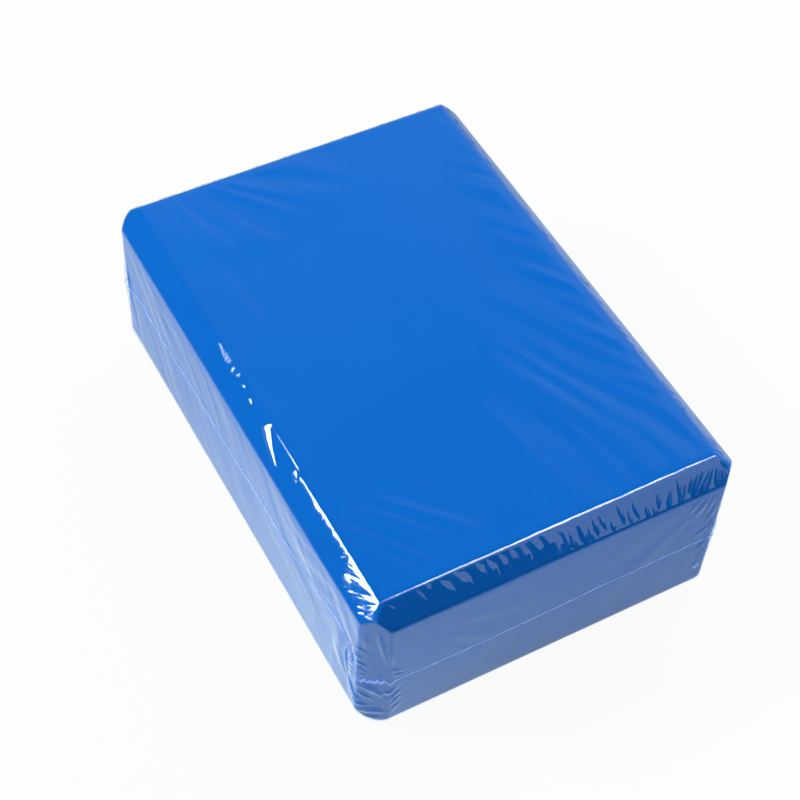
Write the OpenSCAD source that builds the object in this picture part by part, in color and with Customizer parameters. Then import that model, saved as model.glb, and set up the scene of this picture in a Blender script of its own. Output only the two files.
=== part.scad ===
// Exercise block of closed-cell foam, sealed in clear shrink film.
//
// The block is one piece of foam, with the same flat chamfer on all twelve edges. The film is
// one closed skin round it. A thin weld runs round the two ends and the left side at half
// height, the film is folded over along the right side, and it bunches up where it turns the
// four upright corners.
//
// Origin: middle of the footprint, on the surface that the block lies on.
// Axes: +X across the width, +Y along the length, +Z up.

/* [Foam block] */
// Length of the block
block_length = 220; // [160:1:280]
// Width of the block
block_width = 152; // [100:1:200]
// Height of the block
block_height = 76; // [58:1:110]
// Size of the chamfer, measured along each face that it cuts
chamfer = 8; // [4:0.5:12]

/* [Shrink film] */
// Thickness of the film
film_wall = 0.05; // [0.03:0.01:0.2]
// Air between the film and the foam
film_gap = 0.1; // [0.05:0.05:0.5]

/* [Weld] */
// Distance of the weld above half height
weld_offset = 0; // [-8:1:8]
// Height of the weld's bead
weld_height = 0.8; // [0.4:0.1:2]
// How far the bead stands out from the film
weld_proud = 0.4; // [0.2:0.1:0.6]

/* [Corner bunches] */
// Height of the bunched film at each upright corner
bunch_height = 26; // [10:1:30]
// How far the bunched film stands out from the corner, at most
bunch_proud = 1.2; // [0.8:0.1:2.5]
// Smooth film left on each side of the bunch, on the corner's chamfer
bunch_margin = 0.6; // [0.4:0.1:1.5]

/* [Hidden] */
$fn = 180;

// Distance from the foam to the outside of the film
film_reach = film_gap + film_wall;
weld_z = film_reach + block_height / 2 + weld_offset;
// Middle of the film's chamfer at an upright corner
corner_x = block_width / 2 + film_reach - skin_chamfer(film_reach) / 2;
corner_y = block_length / 2 + film_reach - skin_chamfer(film_reach) / 2;
// Depth to which a bunch is sunk below the film's face before the inside is cleared
bunch_root = 1;

// A chamfer's length along each face, on a skin that stands off the foam by reach: the
// slanted plane moves out by the same distance as the flat ones.
function skin_chamfer(reach) = chamfer + reach * (2 - sqrt(2));

// Rectangle centred on the origin, with its four corners cut at 45 degrees.
module cut_rectangle(size_x, size_y, cut)
{
    x = size_x / 2;
    y = size_y / 2;
    polygon([
        [x - cut, -y], [x, -y + cut], [x, y - cut], [x - cut, y],
        [-x + cut, y], [-x, y - cut], [-x, -y + cut], [-x + cut, -y],
    ]);
}

// Foam block's form, grown by reach on every face, with its middle at the origin. Three
// bars, one along each axis, cut each other's edges.
module block_form(reach)
{
    size_x = block_width + 2 * reach;
    size_y = block_length + 2 * reach;
    size_z = block_height + 2 * reach;
    cut = skin_chamfer(reach);
    intersection() {
        linear_extrude(size_z, center = true)
            cut_rectangle(size_x, size_y, cut);
        rotate([90, 0, 0])
            linear_extrude(size_y, center = true)
                cut_rectangle(size_x, size_z, cut);
        rotate([90, 0, 90])
            linear_extrude(size_x, center = true)
                cut_rectangle(size_y, size_z, cut);
    }
}

// Bead of the weld: a band round the block. It is left out along the folded right side, and
// its two ends lie in the bunched film of the right corners.
module weld_bead()
{
    reach = film_reach + weld_proud;
    difference() {
        linear_extrude(weld_height, center = true)
            cut_rectangle(block_width + 2 * reach, block_length + 2 * reach, skin_chamfer(reach));
        translate([corner_x, -block_length, -weld_height])
            cube([block_width, 2 * block_length, 2 * weld_height]);
    }
}

// Bunched film on the chamfer of the upright corner towards +X and -Y: the slice of a lying
// cylinder that crosses the film's face bunch_height apart and rises bunch_proud above it.
module corner_bunch()
{
    radius = (pow(bunch_height / 2, 2) + pow(bunch_proud, 2)) / (2 * bunch_proud);
    bunch_width = skin_chamfer(film_reach) * sqrt(2) - 2 * bunch_margin;
    translate([corner_x, -corner_y, 0])
        rotate([0, 0, -45])
            intersection() {
                translate([bunch_proud - radius, 0, 0])
                    rotate([90, 0, 0])
                        cylinder(r = radius, h = bunch_width, center = true);
                translate([-bunch_root, -bunch_width / 2, -radius])
                    cube([bunch_root + 2 * bunch_proud, bunch_width, 2 * radius]);
            }
}

module corner_bunches()
{
    for (side_x = [0, 1], side_y = [0, 1])
        mirror([side_x, 0, 0])
            mirror([0, side_y, 0])
                corner_bunch();
}

module foam_block()
{
    color([0.08, 0.42, 0.80])
        translate([0, 0, film_reach + block_height / 2])
            block_form(0);
}

module shrink_film()
{
    middle_z = film_reach + block_height / 2;
    color([0.86, 0.91, 0.97, 0.3])
        difference() {
            union() {
                translate([0, 0, middle_z])
                    block_form(film_reach);
                translate([0, 0, weld_z]) {
                    weld_bead();
                    corner_bunches();
                }
            }
            translate([0, 0, middle_z])
                block_form(film_gap);
        }
}

foam_block();
shrink_film();
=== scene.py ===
"""Foam exercise block, sealed in clear shrink film.

Every size is worked out in millimetres, in the row's frame, and becomes metres when a mesh is
filled. The foam and the film share one form: six flat faces and twelve chamfers, blended by a
soft maximum, so that the edges between them are slightly round.
"""

import math

import bpy
import numpy as np
from mathutils import Matrix, Quaternion, Vector


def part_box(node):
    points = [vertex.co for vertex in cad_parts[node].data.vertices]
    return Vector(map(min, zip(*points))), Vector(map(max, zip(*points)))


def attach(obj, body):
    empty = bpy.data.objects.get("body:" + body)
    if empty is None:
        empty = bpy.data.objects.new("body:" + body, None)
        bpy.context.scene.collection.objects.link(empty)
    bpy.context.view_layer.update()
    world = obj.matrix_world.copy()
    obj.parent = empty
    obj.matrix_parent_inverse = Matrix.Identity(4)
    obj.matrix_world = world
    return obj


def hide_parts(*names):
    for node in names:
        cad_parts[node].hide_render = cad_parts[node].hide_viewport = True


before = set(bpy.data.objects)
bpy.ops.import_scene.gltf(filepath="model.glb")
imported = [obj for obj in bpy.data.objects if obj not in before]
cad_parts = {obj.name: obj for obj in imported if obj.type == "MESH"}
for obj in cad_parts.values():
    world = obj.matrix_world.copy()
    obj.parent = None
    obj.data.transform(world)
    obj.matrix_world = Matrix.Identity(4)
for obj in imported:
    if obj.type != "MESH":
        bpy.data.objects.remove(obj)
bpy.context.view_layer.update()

bl_info = {
    "name": "Shrink-wrapped foam block",
    "version": (1, 0, 0),
    "blender": (4, 5, 0),
    "location": "View3D > Sidebar > Foam block",
    "description": "Builds a foam exercise block in clear shrink film, with its stage",
    "category": "Object",
}

MM = 0.001
FOAM_LOW, FOAM_HIGH = (np.array(corner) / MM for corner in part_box("foam_block"))
FILM_HIGH = np.array(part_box("shrink_film")[1]) / MM


def chamfer_of(node):
    """A chamfered block's chamfer in mm: how far its top face stays back from its side."""
    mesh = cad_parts[node].data
    points = np.empty(len(mesh.vertices) * 3)
    mesh.vertices.foreach_get("co", points)
    points = points.reshape(-1, 3) / MM
    top = points[points[:, 2] > points[:, 2].max() - 0.01]
    return float(points[:, 0].max() - top[:, 0].max())


def linear(hex_colour):
    """sRGB hex colour to linear RGBA: each channel by the sRGB curve, alpha 1."""
    channels = [int(hex_colour[i : i + 2], 16) / 255 for i in (1, 3, 5)]
    curve = [c / 12.92 if c <= 0.04045 else ((c + 0.055) / 1.055) ** 2.4 for c in channels]
    return (*curve, 1.0)


# ------------------------------------------------------------------ sizes and colours


class FoamSizes(bpy.types.PropertyGroup):
    """The block of foam."""

    width: bpy.props.FloatProperty(
        name="Width",
        description="Across the block, without film",
        default=float(FOAM_HIGH[0] - FOAM_LOW[0]) * MM,
        unit="LENGTH",
    )
    length: bpy.props.FloatProperty(
        name="Length",
        description="Along the block, without film",
        default=float(FOAM_HIGH[1] - FOAM_LOW[1]) * MM,
        unit="LENGTH",
    )
    height: bpy.props.FloatProperty(
        name="Height",
        description="From the block's underside to its top",
        default=float(FOAM_HIGH[2] - FOAM_LOW[2]) * MM,
        unit="LENGTH",
    )
    rest_height: bpy.props.FloatProperty(
        name="Rest height",
        description="Height of the foam's underside above the floor, on its layer of film",
        default=float(FOAM_LOW[2]) * MM,
        unit="LENGTH",
    )
    chamfer: bpy.props.FloatProperty(
        name="Chamfer",
        description="Length that a chamfer takes off each of its two faces",
        default=chamfer_of("foam_block") * MM,
        unit="LENGTH",
    )
    edge_round: bpy.props.FloatProperty(
        name="Edge rounding",
        description="Width over which one flat of the foam turns into the next",
        default=0.9 * MM,
        unit="LENGTH",
    )
    colour: bpy.props.FloatVectorProperty(
        name="Foam colour",
        description="Pigment of the foam",
        size=4,
        default=linear("#0A7AE6"),
        subtype="COLOR",
        min=0,
        max=1,
    )


class FilmSizes(bpy.types.PropertyGroup):
    """The shrink film round the block."""

    stand_off: bpy.props.FloatProperty(
        name="Stand-off",
        description="From the foam to the outside of tight film",
        default=float(FILM_HIGH[2] - FOAM_HIGH[2]) * MM,
        unit="LENGTH",
    )
    edge_round: bpy.props.FloatProperty(
        name="Edge rounding",
        description="Width over which the film turns at an edge of the foam",
        default=0.9 * MM,
        unit="LENGTH",
    )
    bead: bpy.props.FloatProperty(
        name="Bead",
        description="Diameter of the weld's bead",
        default=0.32 * MM,
        unit="LENGTH",
    )
    colour: bpy.props.FloatVectorProperty(
        name="Film colour",
        description="Tint of what the film mirrors",
        size=4,
        default=linear("#E8FAFF"),
        subtype="COLOR",
        min=0,
        max=1,
    )


# ------------------------------------------------------------------ meshes and materials


def new_piece(name, points, faces, material, smooth=True):
    """A mesh object at the origin from points in mm. faces has a row of corners for each face,
    or is a pair: the corners of all faces in one row, and how many each face has."""
    if not isinstance(faces, tuple):
        faces = faces.ravel(), np.full(len(faces), faces.shape[1])
    corners, counts = faces
    mesh = bpy.data.meshes.new(name)
    mesh.vertices.add(len(points))
    mesh.vertices.foreach_set("co", (points * MM).astype(np.float32).ravel())
    mesh.loops.add(len(corners))
    mesh.loops.foreach_set("vertex_index", corners.astype(np.int32))
    mesh.polygons.add(len(counts))
    starts = np.concatenate([[0], np.cumsum(counts)[:-1]])
    mesh.polygons.foreach_set("loop_start", starts.astype(np.int32))
    mesh.polygons.foreach_set("use_smooth", np.full(len(counts), smooth))
    mesh.update(calc_edges=True)
    mesh.validate()
    mesh.materials.append(material)
    piece = bpy.data.objects.new(name, mesh)
    bpy.context.scene.collection.objects.link(piece)
    return piece


def new_material(name):
    """An empty node material and its node tree."""
    material = bpy.data.materials.new(name)
    material.use_nodes = True
    material.node_tree.nodes.clear()
    return material, material.node_tree


def node(tree, kind, settings=None, **inputs):
    """Adds a node: settings are its own properties, inputs are values or sockets by name or
    number (as _0, _1). Returns the node."""
    made = tree.nodes.new(kind)
    for key, value in (settings or {}).items():
        setattr(made, key, value)
    for key, value in inputs.items():
        number = key[1:]
        socket = made.inputs[int(number)] if number.isdigit() else made.inputs[key.replace("_", " ")]
        if isinstance(value, bpy.types.NodeSocket):
            tree.links.new(value, socket)
        else:
            socket.default_value = value
    return made


# ------------------------------------------------------------------ the block's form


class Form:
    """A chamfered block whose edges are softened and whose tips, where three chamfers meet, are
    blunted, each by its own amount. Lengths in mm, from the block's middle."""

    SLANT = math.sqrt(1 / 2)
    TIP = math.sqrt(1 / 3)
    NORMALS = np.array(
        [
            [1, 0, 0],
            [0, 1, 0],
            [0, 0, 1],
            [SLANT, SLANT, 0],
            [SLANT, 0, SLANT],
            [0, SLANT, SLANT],
            [TIP, TIP, TIP],
        ]
    )
    CORE = 14.0
    # How far each tip is cut back: [left or right][near or far][lower or upper]
    BLUNT = np.array([[[1.0, 0.15], [1.3, 1.0]], [[2.9, 0.8], [2.0, 1.2]]])

    def __init__(self, sizes, edge_round):
        self.half = np.array([sizes.width, sizes.length, sizes.height]) / MM / 2
        self.chamfer = sizes.chamfer / MM
        self.middle = np.array([0, 0, (sizes.rest_height + sizes.height / 2) / MM])
        self.sharpness = 5.75 / (edge_round / MM)
        sides = self.half
        slants = np.array([sides[0] + sides[1], sides[0] + sides[2], sides[1] + sides[2]])
        tip = (sides.sum() - self.chamfer * 1.5) * self.TIP
        self.reaches = np.concatenate([sides, (slants - self.chamfer) * self.SLANT, [tip]])

    def field(self, points):
        """How far points stand outside the form, and the outward direction there: the soft
        maximum (log of the sum of exponentials) of the distances to all planes."""
        away = np.abs(points) @ self.NORMALS.T - self.reaches
        x, y, z = np.moveaxis(points > 0, -1, 0).astype(int)
        away[..., 6] += self.BLUNT[x, y, z]
        most = away.max(-1, keepdims=True)
        share = np.exp(self.sharpness * (away - most))
        total = share.sum(-1, keepdims=True)
        distance = most[..., 0] + np.log(total[..., 0]) / self.sharpness
        slope = (share @ self.NORMALS) / total * np.where(points < 0, -1.0, 1.0)
        return distance, slope

    def onto(self, box_points):
        """Carries points of the plain box to the form, along rays from the box's core (the box
        shrunk by CORE), by Newton's method. Returns the points and their outward normals."""
        core = self.half - self.CORE
        start = np.clip(box_points, -core, core)
        ray = box_points - start
        reach = np.full(len(ray), 0.8)
        for _ in range(10):
            distance, slope = self.field(start + ray * reach[:, None])
            reach -= distance / (slope * ray).sum(-1)
        points = start + ray * reach[:, None]
        slope = self.field(points)[1]
        return points, slope / np.linalg.norm(slope, axis=-1, keepdims=True)

    def pull(self, points):
        """Carries points near the form straight onto it."""
        for _ in range(4):
            distance, slope = self.field(points)
            points = points - slope * (distance / (slope**2).sum(-1))[..., None]
        return points


def spaced(low, high, edge_step, inner_step, edge=14.0):
    """Rising positions from low to high, fine within edge of both ends and coarser between."""
    ends = np.linspace(0, edge, round(edge / edge_step) + 1)
    inner = np.linspace(low + edge, high - edge, round((high - low - 2 * edge) / inner_step) + 1)
    return np.concatenate([low + ends[:-1], inner, high - ends[::-1][1:]])


def half_shell(xs, ys, drops):
    """Half a box: a top grid over xs and ys, with rings of wall points that share the grid's
    rim and go down by drops (the first ring is the rim itself). Returns for each point its x, y
    and drop, and the quads, facing out."""
    nx, ny = len(xs), len(ys)
    index = np.arange(nx * ny).reshape(nx, ny)
    top = np.stack([*np.meshgrid(xs, ys, indexing="ij"), np.zeros((nx, ny))], -1).reshape(-1, 3)
    rim = np.concatenate([index[:-1, 0], index[-1, :-1], index[:0:-1, -1], index[0, :0:-1]])
    rings = np.repeat(top[rim][None], len(drops) - 1, 0)
    rings[..., 2] = np.asarray(drops[1:])[:, None]
    rows = np.vstack([rim, nx * ny + np.arange(rings.shape[0] * len(rim)).reshape(-1, len(rim))])
    nxt = np.roll(rows, -1, axis=1)
    top_quads = np.stack([index[:-1, :-1], index[1:, :-1], index[1:, 1:], index[:-1, 1:]], -1)
    wall_quads = np.stack([rows[1:], nxt[1:], nxt[:-1], rows[:-1]], -1)
    quads = np.concatenate([top_quads.reshape(-1, 4), wall_quads.reshape(-1, 4)])
    return np.concatenate([top, rings.reshape(-1, 3)]), quads, len(rim)


def split_quads(places, quads, chosen):
    """Splits the chosen quads in four. places are rows of grid coordinates; new points lie
    midway between old ones. Returns the places, the small quads, and the other faces as corners
    and counts: faces beside a split edge take its new point in, so nothing comes apart."""
    size = len(places)
    ahead = np.roll(quads, -1, 1)
    edges = np.minimum(quads, ahead) * size + np.maximum(quads, ahead)
    cut = np.unique(edges[chosen])
    middles = (places[cut // size] + places[cut % size]) / 2
    centres = places[quads[chosen]].mean(1)
    after = size + np.searchsorted(cut, edges[chosen])
    centre = size + len(cut) + np.arange(len(centres))
    centre = np.repeat(centre[:, None], 4, 1)
    small = np.stack([quads[chosen], after, centre, np.roll(after, 1, 1)], -1).reshape(-1, 4)
    other = ~chosen
    taken = np.isin(edges[other], cut)
    between = size + np.searchsorted(cut, edges[other])
    corners = np.stack([quads[other], between], -1).reshape(-1, 8)
    kept = np.stack([np.ones_like(taken), taken], -1).reshape(-1, 8)
    return np.concatenate([places, middles, centres]), small, corners[kept], kept.sum(1)


# ------------------------------------------------------------------ folds of the film


def noise(across, along, seed):
    """Smooth random numbers from -1 to 1: a random table blended between its entries by smooth
    steps, one entry for each whole step across and along."""
    table = np.random.default_rng(seed).uniform(-1, 1, (97, 89))
    i, j = np.floor(across).astype(int), np.floor(along).astype(int)
    f, g = across - i, along - j
    f, g = f * f * (3 - 2 * f), g * g * (3 - 2 * g)
    pick = lambda a, b: table[(i + a) % 97, (j + b) % 89]
    near = pick(0, 0) * (1 - f) + pick(1, 0) * f
    far = pick(0, 1) * (1 - f) + pick(1, 1) * f
    return near * (1 - g) + far * g


def rise(value, low, high):
    """Smooth step from 0 at low to 1 at high."""
    share = np.clip((value - low) / (high - low), 0, 1)
    return share * share * (3 - 2 * share)


class Film:
    """The film's relief over the form: how far each point stands off, from fields of streaks and
    from single folds. Positions are in mm in the row's frame."""

    def __init__(self, form, sizes):
        self.form = form
        self.gap = sizes.stand_off / MM
        self.half = form.half
        self.top = form.middle[2] + form.half[2]
        self.low = form.middle[2] - form.half[2]
        self.slant = form.chamfer * math.sqrt(2)
        self.folds = []

    # --- charts: flat coordinates to places on the form

    def over_edge(self, side, s, t):
        """A place s along a side and t down over its top edge: t < 0 is on the top face, then
        comes the chamfer, then the wall. side is left, right, front or back."""
        s, t = np.broadcast_arrays(np.asarray(s, float), np.asarray(t, float))
        axis, sign = {"left": (0, -1), "right": (0, 1), "front": (1, -1), "back": (1, 1)}[side]
        c, on_slant = self.form.chamfer, np.clip(t, 0, self.slant) / math.sqrt(2)
        out = self.half[axis] - c + on_slant + np.minimum(t, 0)
        z = self.top - on_slant - np.maximum(t - self.slant, 0)
        place = np.stack([s, s, z], -1)
        place[..., axis] = sign * out
        return place

    def round_corner(self, corner, u, z):
        """A place u round an upright corner (0 is the middle of its chamfer, negative towards
        the left or right wall) at height z. corner gives the signs of x and y."""
        u, z = np.broadcast_arrays(np.asarray(u, float), np.asarray(z, float))
        c, reach = self.form.chamfer, self.slant / 2
        on = np.clip(u, -reach, reach)
        x = self.half[0] - c / 2 - on / math.sqrt(2) - np.maximum(u - reach, 0)
        y = self.half[1] - c / 2 + on / math.sqrt(2) - np.maximum(-u - reach, 0)
        return np.stack([corner[0] * x, corner[1] * y, z], -1)

    def fold(self, places, height, width, peak=0.5, skew=0.0):
        """Adds a fold that stands height proud along a line of places and fades over width on
        each side. It is highest at peak (0 to 1 along it). skew, -1 to 1, makes it wider on
        one side, so that its two flanks slope differently."""
        places = np.asarray(places, float)
        knots = np.linspace(0, 1, len(places))
        steps = np.linspace(0, 1, 6 * (len(places) - 1) + 1)
        line = np.stack([np.interp(steps, knots, places[:, i]) for i in range(3)], -1)
        if len(places) > 2:
            smooth = line.copy()
            for _ in range(6):
                smooth[1:-1] = (smooth[:-2] + 2 * smooth[1:-1] + smooth[2:]) / 4
            line = smooth
        line = self.form.pull(line - self.form.middle) + self.form.middle
        self.folds.append((line, height, width, peak, skew))

    def near_folds(self, points, margin):
        """For each fold: the rows of points within its width and margin, how far they are off
        its line, which way, at which step of the line, and how far along it."""
        for fold in self.folds:
            line, _, width, _, skew = fold
            reach = width * (1 + abs(skew)) + margin
            low, high = line.min(0) - reach, line.max(0) + reach
            inside = np.flatnonzero(((points > low) & (points < high)).all(1))
            if not len(inside):
                continue
            here, step = points[inside, None], np.diff(line, axis=0)
            back = here - line[:-1]
            share = np.clip((back * step).sum(-1) / (step**2).sum(-1), 0, 1)
            off = back - share[..., None] * step
            away = np.sqrt((off**2).sum(-1))
            best = away.argmin(1)
            rows = np.arange(len(inside))
            run = (best + share[rows, best]) / len(step)
            yield fold, inside, away[rows, best], off[rows, best], step[best], run

    def fold_heights(self, points, normals):
        """The highest fold at each point, with the deepest valley cut into it. A fold falls
        from its line as 1 - d + sin(2 pi d) / (8 pi), with d the distance over its width, so
        that its flanks are nearly flat and its crest and foot are sharp."""
        lift, cut = np.zeros((2, len(points)))
        for fold, inside, away, off, step, run in self.near_folds(points, 0):
            _, height, width, peak, skew = fold
            side = np.sign((np.cross(normals[inside], step) * off).sum(-1))
            fade = np.minimum(run / max(peak, 1e-6), (1 - run) / max(1 - peak, 1e-6)).clip(0, 1)
            fade = fade * fade * (3 - 2 * fade)
            wide = width * (0.2 + 0.8 * fade) * (1 + skew * side)
            d = np.clip(away / wide, 0, 1)
            shape = height * fade * (1 - d + np.sin(2 * math.pi * d) / (8 * math.pi))
            lift[inside] = np.maximum(lift[inside], shape)
            cut[inside] = np.minimum(cut[inside], shape)
        return lift + cut

    def fineness(self, points):
        """How small the mesh must be at each point, in mm: a part of the nearest fold's width,
        0.7 along the edges of the form, and down to 0.16 on the tent and the flaps."""
        need = np.full(len(points), 5.0)
        for (_, _, width, _, skew), inside, away, *_ in self.near_folds(points, 0.3):
            close = away < width * (1 + abs(skew)) + 0.3
            need[inside[close]] = np.minimum(need[inside[close]], max(width / 2.4, 0.3))
        # How deep a point lies inside the box, from the nearest side to the farthest
        depth = np.sort(self.half - np.abs(points - self.form.middle), axis=1)
        chamfer = self.form.chamfer
        edge = (np.abs(depth[:, 1] - chamfer) < 0.8) | (depth[:, 2] < chamfer + 0.5)
        need[edge] = np.minimum(need[edge], 0.7)
        x, y, z = points.T
        left = x < FINE_STRIP - self.half[0]
        for deep, low, high, size in FINE_PLACES:
            need[left & (z > self.top - deep) & (y > low) & (y < high)] = size
        return need

    def web(self, up):
        """A web of film, above (up = 1) or below (up = -1) the weld: a grid over the plain box,
        whose quads are split where folds need it. Returns points, corners and counts."""
        xs = spaced(-self.half[0], self.half[0], 1.2, 1.4)
        ys = spaced(-self.half[1], self.half[1], 1.2, 1.4)
        drops = np.concatenate([np.linspace(0, 14, 13), 14 + np.linspace(0, 1, 19)[1:]])
        places, quads, _ = half_shell(xs, ys, drops)
        quads = quads if up > 0 else quads[:, ::-1]
        corners, counts = np.empty(0, int), np.empty(0, int)
        for _ in range(3):
            points = self.surface(self.on_box(places, up), False)
            span = np.linalg.norm(points[quads] - points[np.roll(quads, -1, 1)], axis=-1).max(1)
            chosen = span > 1.4 * self.fineness(points)[quads].min(1)
            # A face that is done takes in no new points, so no edge of it may be split again.
            ahead = np.roll(quads, -1, 1)
            keys = np.minimum(quads, ahead) * len(places) + np.maximum(quads, ahead)
            inverse, uses = np.unique(keys, return_inverse=True, return_counts=True)[1:]
            rim = (places[quads, 2] > 14.999) & (places[ahead, 2] > 14.999)
            chosen &= ((uses[inverse.reshape(keys.shape)] > 1) | rim).all(1)
            places, quads, more, sides = split_quads(places, quads, chosen)
            corners, counts = np.concatenate([corners, more]), np.concatenate([counts, sides])
        corners = np.concatenate([corners, quads.ravel()])
        counts = np.concatenate([counts, np.full(len(quads), 4)])
        return self.surface(self.on_box(places, up)), corners, counts

    def on_box(self, places, up):
        """Grid places (x, y and drop from the top or bottom face) as points of the plain box.
        Past a drop of 14 mm, one more mm of drop is all the way to the weld."""
        x, y, drop = places.T
        weld = weld_height(x, y, self.half) - self.form.middle[2]
        reach = self.half[2] - 14 - up * weld
        drop = np.where(drop > 14, 14 + (drop - 14) * reach, drop)
        return np.stack([x, y, up * (self.half[2] - drop)], -1)

    # --- fields: streaks that fill a whole face

    def wall_streaks(self, points, normals):
        """Streaks on the walls. Rays fan out from each chamfer corner: noise of the angle round
        that corner, drawn out along the rays. The left wall also has slanting sweeps."""
        lift = np.zeros(len(points))
        _, y, z = points.T
        for wall, (axis, other) in enumerate(((0, 1), (1, 0))):
            flat = rise(np.abs(normals[:, axis]), 0.80, 0.97)
            for side in (-1, 1):
                for end in (-1, 1):
                    for up in (-1, 1):
                        seed = 11 + wall * 8 + (side > 0) * 4 + (end > 0) * 2 + (up > 0)
                        on = flat * (np.sign(points[:, axis]) == side)
                        along = self.half[other] - self.form.chamfer - end * points[:, other]
                        down = (self.top - z if up > 0 else z - self.low) - self.form.chamfer
                        far = np.hypot(along, down)
                        angle = np.arctan2(down, along)
                        warp = 0.15 * noise(far / 22, angle * 2, seed + 60)
                        streak = noise((angle + warp) * 9, far / 45, seed)
                        streak += 0.5 * noise((angle + warp) * 19 + 5, far / 30, seed + 30)
                        fade = rise(far, 2, 14) * (1 - rise(far, 30, 75)) * rise(down, -2, 4)
                        depth = 0.30 if up > 0 else 0.10
                        lift += on * fade * depth * (0.5 + 0.5 * np.clip(streak, -1, 1)) * far / 40
        on = rise(-normals[:, 0], 0.80, 0.97)
        down = self.top - self.form.chamfer - z
        tilt = math.radians(50) + 0.25 * noise(y / 60, down / 40, 91)
        across = y * np.sin(tilt) + down * np.cos(tilt)
        along = -y * np.cos(tilt) + down * np.sin(tilt)
        sweep = noise(across / 7.5, along / 55, 92) + 0.5 * noise(across / 3.6, along / 40, 93)
        fade = rise(down, 0, 6) * (1 - rise(down, 20 + 0.15 * (y + 110), 42 + 0.15 * (y + 110)))
        lift += on * fade * 0.42 * (0.5 + 0.5 * np.clip(sweep, -1, 1))
        return lift

    def tent(self, points):
        """At the left side's near end the film spans from the top edge over part of the chamfer
        like a tent: it leaves the foam at a constant slope as far as TENT says, then drops.
        Round each line in FLAPS a small flap stands up in the same way."""
        x, y, z = points.T
        depth = self.top - z
        chamfer = self.form.chamfer
        t = np.where(depth < chamfer, depth * math.sqrt(2), depth - chamfer + self.slant)
        places, widths = np.array(TENT).T
        teeth = ((y - 1.3 * t) / 1.9 + 0.7 * noise(y / 5, t * 0, 32)) % 1
        width = np.interp(y, places, widths) * (1 + 0.25 * noise(y / 1.3, y * 0, 31))
        width += 1.5 * teeth**2 * rise(-y, 64, 86)
        lift = np.minimum(TENT_SLOPE * t, TENT_SLOPE * width - (t - width) * 1.1)
        # It comes down again to the chamfer's near end.
        end = math.sqrt(2 / 3) * (y + self.half[1] - self.form.chamfer + t / math.sqrt(2))
        lift = np.minimum(lift, 1.1 * end)
        for (s_0, t_0), (s_1, t_1), wide in FLAPS:
            along, down = s_1 - s_0, t_1 - t_0
            share = np.clip(((y - s_0) * along + (t - t_0) * down) / (along**2 + down**2), 0, 1)
            away = np.hypot(y - s_0 - share * along, t - t_0 - share * down)
            rising = FLAP_SLOPE * (t - t_0 + wide / 2)
            rising += FLAP_LEAN * (1 + s_0 / 100) * (y - min(s_0, s_1) + wide / 2)
            lift = np.where(away < wide / 2, np.maximum(lift, rising), lift)
        return np.maximum(lift, 0) * (np.abs(self.half[0] + x) < self.form.chamfer)

    def crown(self, points, normals):
        """The film bows out a little over the long chamfers, unevenly along them."""
        x, y, z = points.T
        slanted = rise(np.abs(normals[:, 2]), 0.62, 0.69) * (1 - rise(np.abs(normals[:, 2]), 0.72, 0.8))
        across = np.minimum(self.top - z, z - self.low) / self.form.chamfer * 2 - 1
        uneven = 1 + 0.22 * noise((x + y) / 1.9, across / 3, 15)
        taut = 1 - 0.7 * rise(x, -8, 22) * (normals[:, 1] < -0.5)
        return 0.12 * np.clip(1 - across**2, 0, 1) * uneven * taut * slanted

    def billow(self, points, normals):
        """Slow swells, stronger on the walls than on the top."""
        x, y, z = points.T
        wall = 1 - rise(np.abs(normals[:, 2]), 0.5, 0.9)
        swell = noise(x / 31 + y / 27, z / 19 + (x - y) / 60, 5)
        return (0.04 + 0.12 * wall) * (0.5 + 0.5 * swell)

    def top_streaks(self, points, normals):
        """Faint streaks on the top face, in sheaves: each is noise of the angle round a centre,
        drawn out away from it and seen through an oval window."""
        lift = np.zeros(len(points))
        edge = (self.half[:2] - self.form.chamfer - np.abs(points[:, :2])).min(-1)
        flat = rise(normals[:, 2], 0.93, 0.995) * rise(edge, -0.5, 4)
        for seed, (centre, cell, window, radii, depth) in enumerate(TOP_SHEAVES, start=40):
            away = points[:, :2] - centre
            far = np.hypot(*away.T)
            angle = np.arctan2(away[:, 1], away[:, 0])
            warp = 0.5 * cell * noise(far / 30, angle / cell / 3, seed + 60)
            streak = noise((angle + warp) / cell, far / 45, seed)
            inside = (((points[:, :2] - window) / radii) ** 2).sum(-1)
            lift += flat * (1 - rise(inside, 0.2, 1)) * depth * (0.5 + 0.5 * streak)
        return lift

    def corner_swell(self, points):
        """The film's slack round each upright corner: it stands off the chamfer there, most at
        the lower end, and rounds off the block's lower corners."""
        x, y, z = points.T
        u_x = self.half[0] - np.abs(x)
        u_y = self.half[1] - np.abs(y)
        round_it = (np.clip(u_x, 0, 8) - np.clip(u_y, 0, 8)) / math.sqrt(2)
        round_it += np.maximum(u_x - 8, 0) - np.maximum(u_y - 8, 0)
        across = np.exp(-((round_it / 6.5) ** 2))
        up = rise(z, self.low + 2, self.low + 14) * (1 - rise(z, 30, 60))
        foot = rise(z, self.low - 1, self.low + 3) * (1 - rise(z, self.low + 8, self.low + 22))
        loose = 1 - 0.6 * rise(x + y, -150, -50)
        return across * loose * (0.35 * up + 0.25 * foot)

    def surface(self, box_points, folded=True):
        """The film over points of the plain box, with or without its relief."""
        points, normals = self.form.onto(box_points)
        points = points + self.form.middle
        if not folded:
            return points
        lift = self.billow(points, normals) + self.wall_streaks(points, normals)
        lift += self.crown(points, normals)
        lift += self.top_streaks(points, normals) + self.corner_swell(points)
        lift += np.maximum(self.tent(points) + self.fold_heights(points, normals), 0)
        lift = lift * (1 - rise(-normals[:, 2], 0.6, 0.95))
        return points + normals * (self.gap + lift)[:, None]


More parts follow.
